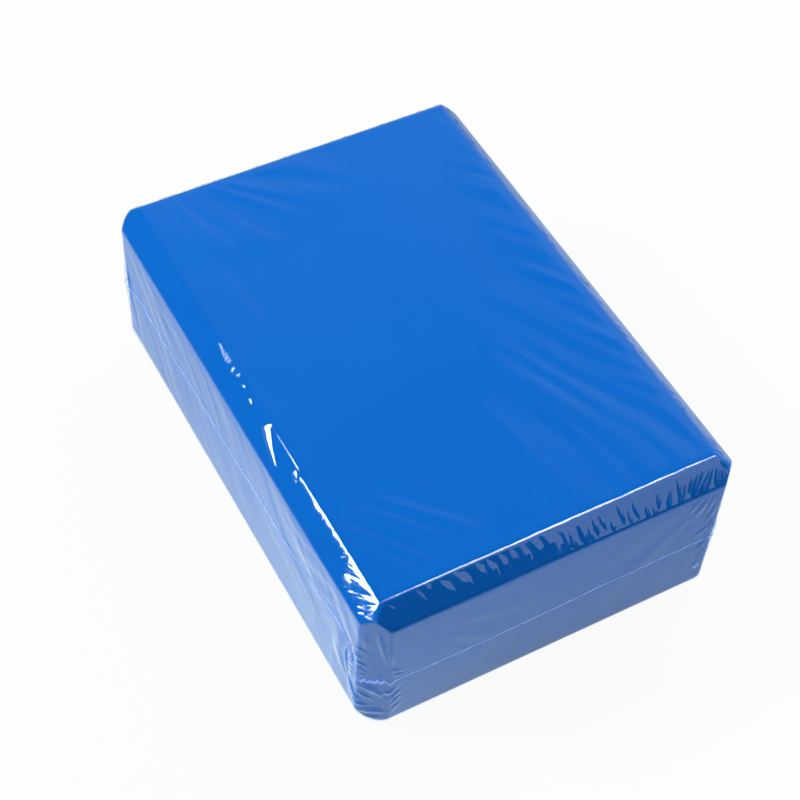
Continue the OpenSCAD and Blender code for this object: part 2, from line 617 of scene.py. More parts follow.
# Sheaves of streaks on the top: centre of the angle, angle from streak to streak, centre and
# radii of the window, depth
TOP_SHEAVES = (
    ((-209, 356), 0.0095, (68, 0), (24, 112), 0.52),
    ((-209, 356), 0.0048, (70, 0), (18, 112), 0.24),
    ((-112, 283), 0.014, (44, -50), (46, 66), 0.44),
    ((-112, 283), 0.007, (50, -64), (34, 50), 0.15),
    ((-36, 300), 0.012, (24, -84), (46, 40), 0.42),
    ((-162, 60), 0.011, (-48, -84), (34, 24), 0.50),
    ((-162, 60), 0.0055, (-50, -86), (30, 18), 0.20),
    ((-58, 124), 0.075, (-30, 88), (50, 34), 0.70),
    ((-75, 400), 0.013, (-56, 50), (15, 62), 0.45),
)

# Folds over the front chamfer: tongues that lean towards the right end, then narrow pleats
# between which the film lies flat. Each row: (place along, distance down over the edge) ...,
# height, width, peak, skew
FRONT_FOLDS = (
    ((-66.6, 1.5), (-64.5, 5.4), 0.16, 0.8, 0.5, 0.0),
    ((-55.9, 0.6), (-54.5, 3.6), (-51.8, 7.5), 0.20, 1.0, 0.4, 0.0),
    ((-52.5, 0.4), (-49.8, 3.4), 0.20, 1.2, 0.3, 0.0),
    ((-47.4, 0.6), (-45.6, 4.6), (-42.0, 7.6), 0.40, 2.3, 0.5, 0.2),
    ((-42.2, 0.4), (-39.6, 4.4), (-34.8, 8.4), 0.46, 2.8, 0.5, 0.2),
    ((-33.2, 0.6), (-31.9, 4.2), (-28.8, 7.8), 0.38, 2.3, 0.5, 0.2),
    ((-28.9, 0.6), (-27.8, 5.0), (-25.4, 9.2), 0.38, 2.2, 0.5, 0.2),
    ((-23.8, 0.6), (-22.8, 5.2), (-21.4, 9.0), 0.33, 2.0, 0.5, 0.2),
    ((-19.6, 0.8), (-18.2, 8.0), 0.32, 1.9, 0.5, 0.1),
    ((-15.2, 0.8), (-13.8, 9.2), 0.35, 2.1, 0.5, 0.2),
    ((-11.0, 0.6), (-7.6, 9.6), 0.38, 2.4, 0.5, 0.2),
    ((-6.2, 0.6), (-3.2, 8.8), 0.35, 2.5, 0.5, 0.2),
    ((1.8, 1.6), (2.4, 6.0), (2.2, 9.6), 0.30, 1.2, 0.8, 0.0),
    ((4.2, 3.0), (4.5, 10.2), 0.28, 1.0, 0.8, 0.0),
    ((7.4, 1.2), (8.8, 5.0), (9.4, 10.2), 0.34, 1.3, 0.8, 0.0),
    ((11.4, 4.4), (11.6, 10.4), 0.24, 0.8, 0.8, 0.0),
    ((14.1, 1.4), (14.3, 10.2), 0.22, 0.75, 0.6, 0.0),
    ((16.6, 1.8), (17.9, 9.6), 0.22, 0.7, 0.5, 0.0),
    ((20.4, 5.0), (20.7, 10.4), 0.20, 0.6, 0.8, 0.0),
    ((24.0, 1.2), (25.0, 5.0), (25.2, 10.4), 0.22, 0.75, 0.6, 0.0),
    ((27.8, 4.0), (27.9, 10.4), 0.18, 0.55, 0.8, 0.0),
    ((31.0, 1.4), (30.5, 6.0), (31.2, 10.4), 0.22, 0.7, 0.6, 0.0),
    ((35.3, 5.0), (34.6, 10.6), 0.22, 0.7, 0.8, 0.0),
    ((37.7, 7.0), (37.8, 10.8), 0.22, 0.7, 0.8, 0.0),
    ((40.8, 2.0), (40.2, 6.4), (39.2, 10.4), 0.20, 0.6, 0.6, 0.0),
    ((46.6, 3.6), (42.8, 10.9), 0.32, 0.95, 0.75, 0.0),
    ((50.0, 1.0), (49.7, 4.9), (48.6, 10.4), 0.30, 0.9, 0.6, 0.0),
    ((53.4, 3.0), (47.6, 10.9), 0.34, 1.0, 0.8, 0.0),
    ((56.6, 1.6), (54.6, 5.4), (51.6, 9.4), 0.22, 0.6, 0.6, 0.0),
    ((61.6, 1.0), (57.6, 5.0), (52.6, 10.9), 0.44, 1.25, 0.75, 0.0),
    ((65.6, 1.0), (62.0, 6.4), (55.6, 10.9), 0.46, 1.35, 0.75, 0.0),
    ((66.8, 2.0), (64.2, 10.6), 0.42, 1.25, 0.8, 0.0),
    ((69.0, 2.8), (67.0, 10.6), 0.34, 1.0, 0.8, 0.0),
    ((68.2, 1.2), (69.0, 3.4), (69.6, 6.4), 0.30, 0.8, 0.4, 0.2),
    ((58.8, 12.6), (55.0, 17.4), (51.0, 23.4), 0.34, 2.0, 0.4, 0.0),
    ((61.6, 13.0), (58.4, 20.5), (54.8, 30.0), 0.42, 2.3, 0.4, 0.0),
    ((64.6, 13.0), (62.6, 20.0), (60.6, 27.5), 0.30, 1.6, 0.4, 0.0),
    ((66.9, 17.0), (64.4, 26.5), (61.6, 35.0), 0.34, 1.8, 0.5, 0.0),
    ((67.0, 32.6), (62.4, 36.4), (56.6, 39.8), 0.40, 1.3, 0.5, 0.0),
)

# Folds over the left chamfer, in the same way: a long sliver and a short one, a small ridge,
# valleys that cut the tent into fingers (their height is negative), and two short lines
LEFT_FOLDS = (
    ((-15.6, 2.2), (-20.0, 4.2), (-26.0, 6.2), (-36.0, 8.8), (-53.0, 10.6), 0.60, 2.0, 0.06, 0.15),
    ((-38.4, 2.1), (-41.4, 3.4), (-46.2, 5.2), 0.38, 1.3, 0.3, 0.15),
    ((-79.8, 3.5), (-78.0, 4.5), 0.24, 0.75, 0.5, 0.0),
    ((-85.2, 1.6), (-82.6, 2.8), -0.35, 0.35, 0.8, 0.0),
    ((-88.0, 1.8), (-85.3, 3.0), (-83.4, 4.2), -0.40, 0.38, 0.8, 0.0),
    ((-91.4, 1.4), (-88.4, 2.7), (-86.2, 3.7), (-83.0, 5.2), -0.80, 0.62, 0.8, 0.0),
    ((-92.4, 2.7), (-90.2, 3.8), (-87.4, 5.2), -0.40, 0.32, 0.7, 0.0),
    ((-98.9, 1.2), (-96.0, 2.6), (-93.2, 4.2), (-88.8, 6.8), -1.60, 1.45, 0.85, 0.0),
    ((-98.4, 3.2), (-95.8, 4.8), (-93.6, 6.2), -0.40, 0.30, 0.7, 0.0),
    ((-102.3, 1.4), (-100.1, 3.3), (-98.2, 5.0), (-96.0, 7.0), -1.20, 1.00, 0.8, 0.0),
    ((-104.6, 2.9), (-102.6, 4.6), (-100.6, 6.2), -0.60, 0.45, 0.7, 0.0),
    ((-1.4, 2.2), (-4.0, 2.8), (-6.8, 3.2), 0.24, 0.85, 0.4, 0.0),
    ((4.8, 1.4), (2.8, 1.8), (0.4, 2.2), 0.23, 0.80, 0.4, 0.0),
)

# How far down the left chamfer the tent reaches at places along it, and its slope
TENT = (
    (-109.0, 3.0),
    (-106.0, 3.6),
    (-104.0, 4.2),
    (-100.0, 4.6),
    (-96.0, 5.2),
    (-90.0, 5.2),
    (-86.0, 5.0),
    (-84.6, 4.3),
    (-83.6, 2.6),
    (-81.6, 1.9),
    (-80.0, 1.4),
    (-76.0, 1.6),
    (-72.0, 2.0),
    (-62.0, 2.1),
    (-50.0, 2.0),
    (-43.0, 1.8),
    (-41.0, 0.0),
)
TENT_SLOPE = 0.26

# Small flaps on the left chamfer: the upper and the lower end of a line as (place along,
# distance down over the edge), and the flap's width across it. A row of them leans along the
# far half of the edge, the others lie below the tent's near end.
FLAPS = (
    ((8.3, 0.7), (7.9, 1.5), 0.80),
    ((11.7, 0.8), (10.9, 2.4), 1.00),
    ((15.6, 0.8), (15.1, 1.7), 0.80),
    ((17.4, 0.8), (16.7, 2.3), 0.80),
    ((19.4, 0.8), (18.9, 1.8), 0.78),
    ((21.2, 0.7), (20.7, 1.5), 0.76),
    ((22.8, 0.7), (22.3, 1.5), 0.76),
    ((24.3, 0.7), (23.9, 1.2), 0.72),
    ((-91.6, 7.2), (-90.4, 8.1), 0.90),
    ((-100.2, 6.3), (-97.2, 8.0), 1.00),
    ((-100.4, 8.3), (-99.1, 9.1), 0.90),
    ((-104.8, 5.5), (-103.5, 6.9), 0.75),
    ((-103.2, 7.2), (-101.9, 7.7), 0.75),
    ((-103.2, 4.8), (-102.2, 6.4), 0.75),
)
# How much a flap rises for each mm down the chamfer, and along it
FLAP_SLOPE = 0.24
FLAP_LEAN = 0.1

# Where the film's mesh has to be fine: within FINE_STRIP of the left side, and in each row how
# deep below the top, from and to which place along, and the mesh size, all in mm. The rows are
# the tent, its fingers and the flaps.
FINE_STRIP = 8.3
FINE_PLACES = (
    (4.0, -120.0, TENT[-1][0], 0.45),
    (6.8, -120.0, -82.0, 0.16),
    (2.4, 7.0, 25.2, 0.16),
)

# The bunched film at the near left corner. Each row: (place round the corner, height above the
# floor) ..., height, width, peak, skew
NEAR_BUNCH = (
    ((-10.5, 53.0), (-17.0, 43.0), (-19.0, 33.0), (-16.5, 25.0), (-12.0, 20.0), 0.9, 4.5, 0.5, -0.4),
    ((-11.0, 47.5), (-13.8, 41.0), (-13.2, 35.5), (-13.4, 28.5), (-12.0, 23.0), 0.9, 1.1, 0.5, 0.0),
    ((-9.6, 48.4), (-6.2, 52.8), (-3.0, 51.4), (-1.4, 46.4), 0.52, 0.6, 0.45, 0.45),
    ((-9.8, 45.0), (-7.2, 48.2), (-4.8, 47.0), (-3.8, 43.4), 0.45, 0.5, 0.45, 0.45),
    ((-8.8, 41.0), (-5.8, 43.6), (-3.0, 42.4), (-1.4, 39.0), 0.52, 0.6, 0.45, 0.45),
    ((-8.6, 37.6), (-5.6, 40.0), (-2.8, 38.8), (-1.8, 36.4), 0.44, 0.5, 0.45, 0.45),
    ((-12.6, 37.4), (-10.4, 42.2), (-8.6, 39.6), (-10.6, 35.4), 0.52, 0.6, 0.5, 0.45),
    ((-12.2, 33.4), (-9.8, 37.6), (-7.2, 35.4), 0.56, 0.6, 0.5, 0.45),
    ((-11.6, 30.2), (-9.8, 34.4), (-7.6, 32.2), 0.56, 0.6, 0.5, 0.45),
    ((-10.8, 27.0), (-9.2, 31.6), (-7.6, 29.4), 0.56, 0.6, 0.5, 0.45),
    ((-12.4, 41.0), (-11.6, 46.6), (-9.8, 50.2), 0.50, 0.7, 0.5, 0.0),
    ((-6.0, 34.6), (-3.6, 36.6), (-1.6, 35.0), 0.40, 0.5, 0.5, 0.45),
    ((0.6, 36.0), (2.4, 38.6), (4.6, 36.4), 0.40, 0.5, 0.5, 0.45),
    ((0.1, 71.0), (2.0, 62.2), (3.9, 52.8), (5.5, 44.0), 0.55, 1.5, 0.5, -0.3),
    ((-3.0, 66.0), (-3.4, 58.0), (-2.8, 52.0), 0.4, 2.2, 0.5, 0.0),
    ((5.4, 60.0), (6.0, 52.0), (6.6, 44.4), 0.4, 1.2, 0.5, 0.0),
    ((5.5, 44.8), (8.6, 41.2), (13.4, 38.6), 0.45, 1.4, 0.4, 0.0),
    ((5.8, 40.4), (9.4, 38.6), (13.0, 37.4), 0.4, 0.9, 0.4, 0.0),
    ((-12.4, 28.0), (-9.6, 22.4), (-5.6, 18.0), (-3.6, 18.6), 1.1, 1.8, 0.5, 0.2),
    ((-8.4, 26.4), (-3.4, 28.6), (1.2, 27.4), (6.2, 22.0), 1.1, 2.4, 0.5, 0.3),
    ((-7.6, 22.8), (-3.0, 22.6), (1.6, 20.0), 0.8, 1.4, 0.5, 0.3),
    ((-9.8, 16.6), (-5.0, 15.0), (0.6, 17.2), 0.9, 1.6, 0.5, 0.3),
    ((-9.0, 10.2), (-3.0, 11.6), (3.0, 14.8), (6.4, 13.0), 0.9, 2.0, 0.5, 0.3),
    ((-4.0, 7.0), (0.6, 9.6), (5.4, 9.6), 0.7, 1.4, 0.5, 0.0),
    ((2.0, 23.6), (5.8, 29.2), (11.4, 31.2), 0.6, 1.2, 0.5, 0.0),
    ((3.8, 20.4), (8.2, 26.0), (13.0, 27.4), 0.55, 1.2, 0.5, 0.0),
    ((4.6, 17.0), (8.4, 22.0), (12.0, 23.0), 0.5, 1.1, 0.5, 0.0),
    ((5.6, 12.8), (9.0, 17.0), (12.6, 18.4), 0.4, 1.2, 0.5, 0.0),
)


def lay_folds(film):
    """Lays the single folds: first those with a known place, then seeded ones on the sides and
    corners that have none of their own."""
    for side, rows in (("front", FRONT_FOLDS), ("left", LEFT_FOLDS)):
        for *places, height, width, peak, skew in rows:
            s, t = np.array(places).T
            film.fold(film.over_edge(side, s, t), height, width, peak, skew)
    for *places, height, width, peak, skew in NEAR_BUNCH:
        u, z = np.array(places).T
        film.fold(film.round_corner((-1, -1), u, z), height, width, peak, skew)
    draw = np.random.default_rng(7)
    for corner in ((1, -1), (-1, 1), (1, 1)):
        bunch(film, corner, draw)
    for side, low, high, count in (
        ("back", -70, 70, 34),
        ("right", -100, 100, 44),
    ):
        puckers(film, side, low, high, count, draw)


def bunch(film, corner, draw):
    """The gathered film at an upright corner: a few nested loops beside it at the weld, pleats
    that run up from the weld and spread, and curved ones below it."""
    for loop in range(5):
        reach, tall = 2.4 + 1.9 * loop * 0.6, 3.0 + 2.6 * loop
        way = np.linspace(-0.4, math.pi * draw.uniform(0.8, 1.25), 6)
        u = -4 - reach * np.sin(way)
        z = WELD_MEAN + tall * np.cos(way) + draw.uniform(-1, 1)
        film.fold(film.round_corner(corner, u, z), draw.uniform(0.3, 0.6), draw.uniform(1.0, 1.4))
    for up in (1, -1):
        for start in np.linspace(-7, 7, 8) + draw.uniform(-0.6, 0.6, 8):
            bend, reach = draw.uniform(-2.5, 2.5), draw.uniform(9, 22)
            u = np.array([start, start * 1.25 + bend * 0.5, start * 1.5 + bend])
            z = WELD_MEAN + up * np.array([1.5, reach * 0.5, reach])
            film.fold(
                film.round_corner(corner, u, z),
                draw.uniform(0.25, 0.6),
                draw.uniform(1.2, 1.9),
                peak=0.3,
                skew=draw.uniform(-0.3, 0.3),
            )


def puckers(film, side, low, high, count, draw):
    """Short puckers over a chamfer's upper edge, that lean away from the nearer end."""
    middle = (low + high) / 2
    for s in np.sort(draw.uniform(low, high, count)):
        lean = (s - middle) / (high - low) * 2
        start, reach = draw.uniform(0.4, 2.5), draw.uniform(3, 8)
        places = np.array([s, s + 0.4 * lean * reach, s + 0.9 * lean * reach])
        drop = start + reach * np.array([0, 0.5, 1])
        film.fold(
            film.over_edge(side, places, drop),
            draw.uniform(0.15, 0.40),
            draw.uniform(1.2, 2.1),
            peak=draw.uniform(0.3, 0.6),
        )


# ------------------------------------------------------------------ the weld

WELD_MEAN = 38.15
# Height of the weld above the floor at places round the block: from the near left corner along
# the front, the right side, the back and the left side
WELD_PATH = (
    (0, 33.6),
    (5, 34.8),
    (12, 35.4),
    (45, 34.7),
    (78, 35.1),
    (95, 36.2),
    (121, 36.3),
    (146, 36.7),
    (152, 37.6),
    (160, 38.2),
    (262, 38.0),
    (364, 38.4),
    (372, 38.8),
    (380, 37.6),
    (430, 37.2),
    (480, 38.6),
    (518, 38.2),
    (524, 37.0),
    (536, 37.6),
    (549, 40.8),
    (561, 38.9),
    (571, 39.8),
    (630, 41.2),
    (690, 43.2),
    (704, 45.9),
    (718, 49.6),
    (726, 49.2),
    (731, 45.0),
    (733, 38.0),
    (736, 32.0),
    (740, 32.6),
)


def weld_height(x, y, half):
    """Height of the weld over a place x, y on the plain box's rim: the path's knots, joined by
    straight lines round the block."""
    w, l = half[0], half[1]
    place = np.where(
        y <= -l + 1e-6,
        x + w,
        np.where(x >= w - 1e-6, 2 * w + y + l, np.where(y >= l - 1e-6, 3 * w + 2 * l - x, 0)),
    )
    place = np.where((x <= -w + 1e-6) & (y > -l + 1e-6), 4 * w + 3 * l - y, place)
    knots, heights = np.array(WELD_PATH).T
    return np.interp(place, knots, heights, period=4 * (w + l))


# ------------------------------------------------------------------ materials


def foam_material(colour):
    """Closed-cell EVA foam, cut from a moulded sheet: a matt skin with a very fine grain."""
    material, tree = new_material("eva_foam_skin")
    place = node(tree, "ShaderNodeTexCoord").outputs["Object"]
    # Cells of 0.3 mm are too fine to show, so the grain is drawn at 0.9 mm.
    grain = node(tree, "ShaderNodeTexNoise", Vector=place, Scale=1 / (0.9 * MM), Detail=3.0)
    cloud = node(tree, "ShaderNodeTexNoise", Vector=place, Scale=1 / (35 * MM), Detail=2.0)
    shade = node(
        tree,
        "ShaderNodeMix",
        {"data_type": "RGBA", "blend_type": "MULTIPLY"},
        _0=1.0,
        _6=colour,
    )
    spread = node(
        tree, "ShaderNodeMapRange", Value=cloud.outputs["Fac"], To_Min=0.97, To_Max=1.03
    )
    tree.links.new(spread.outputs[0], shade.inputs[7])
    bump = node(
        tree,
        "ShaderNodeBump",
        Strength=0.15,
        Distance=0.1 * MM,
        Height=grain.outputs["Fac"],
    )
    skin = node(
        tree,
        "ShaderNodeBsdfPrincipled",
        Base_Color=shade.outputs[2],
        Roughness=0.8,
        IOR=1.45,
        Specular_IOR_Level=0.06,
        Normal=bump.outputs[0],
    )
    node(tree, "ShaderNodeOutputMaterial", Surface=skin.outputs[0])
    return material


def film_material(colour):
    """Clear polyolefin shrink film: blown, then shrunk tight by heat. It shows the foam
    through it and mirrors the room, more so at a glancing angle."""
    material, tree = new_material("clear_shrink_film")
    # The outer face mirrors by Fresnel's law. The inner face adds a little, because the film
    # clings to the foam over most of its area.
    face = node(tree, "ShaderNodeFresnel", IOR=1.5).outputs[0]
    both = node(tree, "ShaderNodeMath", {"operation": "MULTIPLY"}, _0=face, _1=1.25).outputs[0]
    # Light on its way out meets the film's back, where Fresnel's law would turn it all round as
    # in a thick pane. A thin film lets it through.
    behind = node(tree, "ShaderNodeNewGeometry").outputs["Backfacing"]
    share = node(
        tree, "ShaderNodeMix", {"data_type": "FLOAT"}, _0=behind, _2=both, _3=0.08
    ).outputs[0]
    # Seen edge on, a fold holds more of the plastic. There it lets through a painted blue: painted
    # light for the foam's blue seen in the film.
    facing = node(tree, "ShaderNodeLayerWeight", Blend=0.5).outputs["Facing"]
    edge = node(tree, "ShaderNodeMath", {"operation": "POWER"}, _0=facing, _1=6.0).outputs[0]
    painted_edge_blue = node(
        tree,
        "ShaderNodeMix",
        {"data_type": "RGBA"},
        _0=edge,
        _6=linear("#FFFFFF"),
        _7=linear("#8FB0DE"),
    )
    clear = node(tree, "ShaderNodeBsdfTransparent", Color=painted_edge_blue.outputs[2])
    gloss = node(tree, "ShaderNodeBsdfAnisotropic", Color=colour, Roughness=0.05)
    skin = node(
        tree, "ShaderNodeMixShader", _0=share, _1=clear.outputs[0], _2=gloss.outputs[0]
    )
    node(tree, "ShaderNodeOutputMaterial", Surface=skin.outputs[0])
    return material


def weld_material():
    """Melted polyolefin: where the two webs were cut and welded, the film has drawn together
    into a glossy, slightly milky bead, which shows as a thin pale line."""
    material, tree = new_material("welded_polyolefin")
    # It adds what it scatters and mirrors to the foam's blue, and hides little of that.
    gloss = node(tree, "ShaderNodeBsdfAnisotropic", Color=linear("#7E8A96"), Roughness=0.35)
    milk = node(tree, "ShaderNodeBsdfDiffuse", Color=linear("#8C9AA8"))
    melt = node(tree, "ShaderNodeMixShader", _0=0.7, _1=gloss.outputs[0], _2=milk.outputs[0])
    clear = node(tree, "ShaderNodeBsdfTransparent", Color=linear("#D8DEE8"))
    bead = node(tree, "ShaderNodeAddShader", _0=clear.outputs[0], _1=melt.outputs[0])
    node(tree, "ShaderNodeOutputMaterial", Surface=bead.outputs[0])
    return material


# ------------------------------------------------------------------ operators


class OBJECT_OT_foam_block_core(bpy.types.Operator):
    """The block of foam: the form's surface on a grid that is finer at the chamfers"""

    bl_idname = "object.foam_block_core"
    bl_label = "Foam block"

    def execute(self, context):
        sizes = context.scene.foam_sizes
        form = Form(sizes, sizes.edge_round)
        low, high = -form.half, form.half
        xs, ys = (spaced(low[i], high[i], 1.0, 4.0) for i in (0, 1))
        flat, quads, rim = half_shell(xs, ys, high[2] - spaced(low[2], high[2], 1.0, 4.0)[::-1])
        box = flat * [1, 1, -1] + [0, 0, high[2]]
        lid = flat[: len(xs) * len(ys)] * [1, 1, 0] + [0, 0, low[2]]
        points, faces = close_box(box, quads, lid, xs, ys, rim)
        skin = form.onto(points)[0] + form.middle
        piece = new_piece("foam_core", skin, faces, foam_material(sizes.colour))
        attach(piece, "root")
        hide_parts("foam_block")
        return {"FINISHED"}


def close_box(points, quads, lid, xs, ys, rim):
    """Closes a half shell's open lower rim with the lid's grid, whose own rim is the last ring."""
    nx, ny = len(xs), len(ys)
    index = np.full((nx, ny), -1)
    last = np.arange(len(points) - rim, len(points))
    loop = np.arange(nx * ny).reshape(nx, ny)
    edge = np.concatenate([loop[:-1, 0], loop[-1, :-1], loop[:0:-1, -1], loop[0, :0:-1]])
    index.ravel()[edge] = last
    inner = index.ravel() < 0
    index.ravel()[inner] = len(points) + np.arange(inner.sum())
    cover = np.stack([index[:-1, :-1], index[:-1, 1:], index[1:, 1:], index[1:, :-1]], -1)
    return np.concatenate([points, lid[inner]]), np.concatenate([quads, cover.reshape(-1, 4)])


class OBJECT_OT_foam_block_film(bpy.types.Operator):
    """The two webs of film, above and below the weld"""

    bl_idname = "object.foam_block_film"
    bl_label = "Shrink film"

    def execute(self, context):
        scene = context.scene
        film = shaped_film(scene)
        material = film_material(scene.film_sizes.colour)
        for name, up in (("film_upper_web", 1), ("film_lower_web", -1)):
            skin, corners, counts = film.web(up)
            piece = new_piece(name, skin, (corners, counts), material)
            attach(piece, "root")
            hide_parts("shrink_film")
        return {"FINISHED"}


def shaped_film(scene):
    """The film's form with all its folds laid."""
    film = Film(Form(scene.foam_sizes, scene.film_sizes.edge_round), scene.film_sizes)
    lay_folds(film)
    return film


def bead(path, outward, radius, closed=False):
    """A round bead along a path: a ring of eight points at each step, from the outward way to
    the way across the path. Both ends are capped unless it is closed. Returns points, corners
    and counts."""
    ahead = np.roll(path, -1, 0) - np.roll(path, 1, 0) if closed else np.gradient(path, axis=0)
    across = np.cross(outward, ahead / np.linalg.norm(ahead, axis=1, keepdims=True))
    turn = np.linspace(0, 2 * math.pi, 9)[:-1, None]
    ring = np.cos(turn) * outward[:, None] + np.sin(turn) * across[:, None]
    skin = path[:, None] + ring * radius[:, None, None]
    index = np.arange(len(path) * 8).reshape(-1, 8)
    if closed:
        index = np.concatenate([index, index[:1]])
    beside = np.roll(index, -1, axis=1)
    quads = np.stack([index[:-1], index[1:], beside[1:], beside[:-1]], -1).reshape(-1, 4)
    corners, counts = quads.ravel(), np.full(len(quads), 4)
    if not closed:
        corners = np.concatenate([corners, index[0], index[-1][::-1]])
        counts = np.concatenate([counts, [8, 8]])
    return skin.reshape(-1, 3), corners, counts


class OBJECT_OT_foam_block_weld(bpy.types.Operator):
    """The weld that joins the two webs, a thin bead round the block, and the film's vent"""

    bl_idname = "object.foam_block_weld"
    bl_label = "Weld"

    def execute(self, context):
        scene = context.scene
        film = shaped_film(scene)
        w, l = film.half[:2]
        start, end = 2 * w + 2 * l - 4, 4 * (w + l) + 2 * w + 4
        place = np.arange(start, end, 0.35) % (4 * (w + l))
        corner = np.array([0, 2 * w, 2 * (w + l), 4 * w + 2 * l, 4 * (w + l)])
        x = np.interp(place, corner, [-w, w, w, -w, -w])
        y = np.interp(place, corner, [-l, -l, l, l, -l])
        z = weld_height(x, y, film.half) - film.form.middle[2]
        # Crimps: the bead zigzags where the film is gathered at the upright corners
        near = np.abs(place[:, None] - corner).min(1)
        crimp = 1 - rise(near, 6, 15)
        zigzag = 2 * np.abs((place / 3.3) % 1 * 2 - 1) - 1
        z = z + crimp * 1.0 * zigzag + 0.06 * noise(place / 3, place * 0, 3)
        path = film.surface(np.stack([x, y, z], -1))
        outward = film.form.onto(np.stack([x, y, z], -1))[1]
        radius = scene.film_sizes.bead / MM / 2
        swell = 1 + 0.35 * noise(place / 1.3, place * 0, 8) + 1.5 * crimp
        # It stands out far enough to clear the foam where the crimps swell
        path = path + outward * (radius * 0.4 + 0.08)
        skin, corners, counts = bead(path, outward, radius * swell)
        material = weld_material()
        pieces = [new_piece("film_weld", skin, (corners, counts), material)]
        # The vent: the melted rim of a pinhole, low on the front near its right end
        turn = np.linspace(0, 2 * math.pi, 25)[:-1]
        x, z = 64.2 + 0.9 * np.cos(turn), 0.9 * np.sin(turn) + 18.7 - film.form.middle[2]
        rim = np.stack([x, np.full(24, -l), z], -1)
        outward = film.form.onto(rim)[1]
        # It stands 0.3 mm out, to lie on the film and clear the foam
        rim = film.surface(rim) + outward * 0.3
        skin, corners, counts = bead(rim, outward, np.full(24, 0.5), True)
        pieces.append(new_piece("film_vent", skin, (corners, counts), material))
        for piece in pieces:
            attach(piece, "root")
            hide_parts("shrink_film")
        return {"FINISHED"}


class OBJECT_OT_foam_block_stage(bpy.types.Operator):
    """A pale floor, soft lamps, a white surrounding and the camera"""

    bl_idname = "object.foam_block_stage"
    bl_label = "Stage"

    def execute(self, context):
        scene = context.scene
        scene.view_settings.view_transform = "Standard"
        floor = new_piece(
            "floor",
            np.array([[-3000, -3000, 0], [3000, -3000, 0], [3000, 3000, 0], [-3000, 3000, 0]], float),
            np.array([[0, 1, 2, 3]]),
            floor_material(),
            smooth=False,
        )
        surroundings(scene)
        # name, direction from the block, distance and size in m, turn in degrees, radiance,
        # which light it gives: "all", "mirrored" or "diffuse"
        softbox("key_softbox", (-0.645, 0.392, 0.656), 2.2, (0.66, 0.66), 0, 32.0, "all")
        softbox("side_panel", PANEL_WAY, 2.4, (1.5, 1.9), -15, 1.5, "mirrored")
        softbox("edge_strip", (0.363, -0.185, 0.913), 2.2, (0.9, 0.5), 0, 18.0, "mirrored")
        softbox("low_strip", (-0.83, -0.49, 0.25), 2.2, (1.3, 0.8), 0, 2.2, "mirrored")
        softbox("top_fill", (0.50, 0.45, 0.74), 1.8, (1.4, 1.4), 0, 1.8, "diffuse")
        softbox("right_fill", (0.97, 0.05, 0.24), 1.8, (1.2, 1.2), 0, 4.2, "diffuse")
        softbox("front_fill", (0.3, -0.90, 0.32), 1.8, (1.4, 1.0), 0, 1.05, "diffuse")
        scene.camera = studio_camera()
        return {"FINISHED"}


def floor_material():
    """Matt white board. The camera sees it near white, with the block's shadow kept. What the film
    mirrors of it is a painted pool of light round the block, brightest off the near left corner:
    painted light, an emission whose strength for glossy rays fades with the distance from two centres."""
    material, tree = new_material("matt_white_board")
    board = node(tree, "ShaderNodeBsdfDiffuse", Color=linear("#F3F3F3"))
    place = node(tree, "ShaderNodeTexCoord").outputs["Object"]
    # Painted light: two pools of emission on the floor, one round the block and one off its near left
    # corner, which the film mirrors
    pool = None
    # centre, radius where the light has faded, radius where it is full, light beyond, light inside
    pools = (((-0.03, 0.03, 0), 0.41, 0.10, 0.25, 0.85), ((-0.16, -0.10, 0), 0.20, 0.02, 0, 0.5))
    for centre, far, near, low, high in pools:
        away = node(tree, "ShaderNodeVectorMath", {"operation": "DISTANCE"}, _0=place, _1=centre)
        light = node(
            tree,
            "ShaderNodeMapRange",
            {"interpolation_type": "SMOOTHSTEP"},
            Value=away.outputs["Value"],
            From_Min=far,
            From_Max=near,
            To_Min=low,
            To_Max=high,
        ).outputs[0]
        if pool is not None:
            light = node(tree, "ShaderNodeMath", {"operation": "ADD"}, _0=pool, _1=light).outputs[0]
        pool = light
    paths = node(tree, "ShaderNodeLightPath").outputs
    strength = node(
        tree,
        "ShaderNodeMix",
        {"data_type": "FLOAT"},
        _0=paths["Is Glossy Ray"],
        _2=1.0,
        _3=pool,
    )
    glow = node(tree, "ShaderNodeEmission", Color=linear("#FFFFFF"), Strength=strength.outputs[0])
    share = node(
        tree,
        "ShaderNodeMath",
        {"operation": "MULTIPLY_ADD"},
        _0=paths["Is Camera Ray"],
        _1=0.94,
        _2=paths["Is Glossy Ray"],
    )
    mixed = node(
        tree,
        "ShaderNodeMixShader",
        _0=share.outputs[0],
        _1=board.outputs[0],
        _2=glow.outputs[0],
    )
    node(tree, "ShaderNodeOutputMaterial", Surface=mixed.outputs[0])
    return material


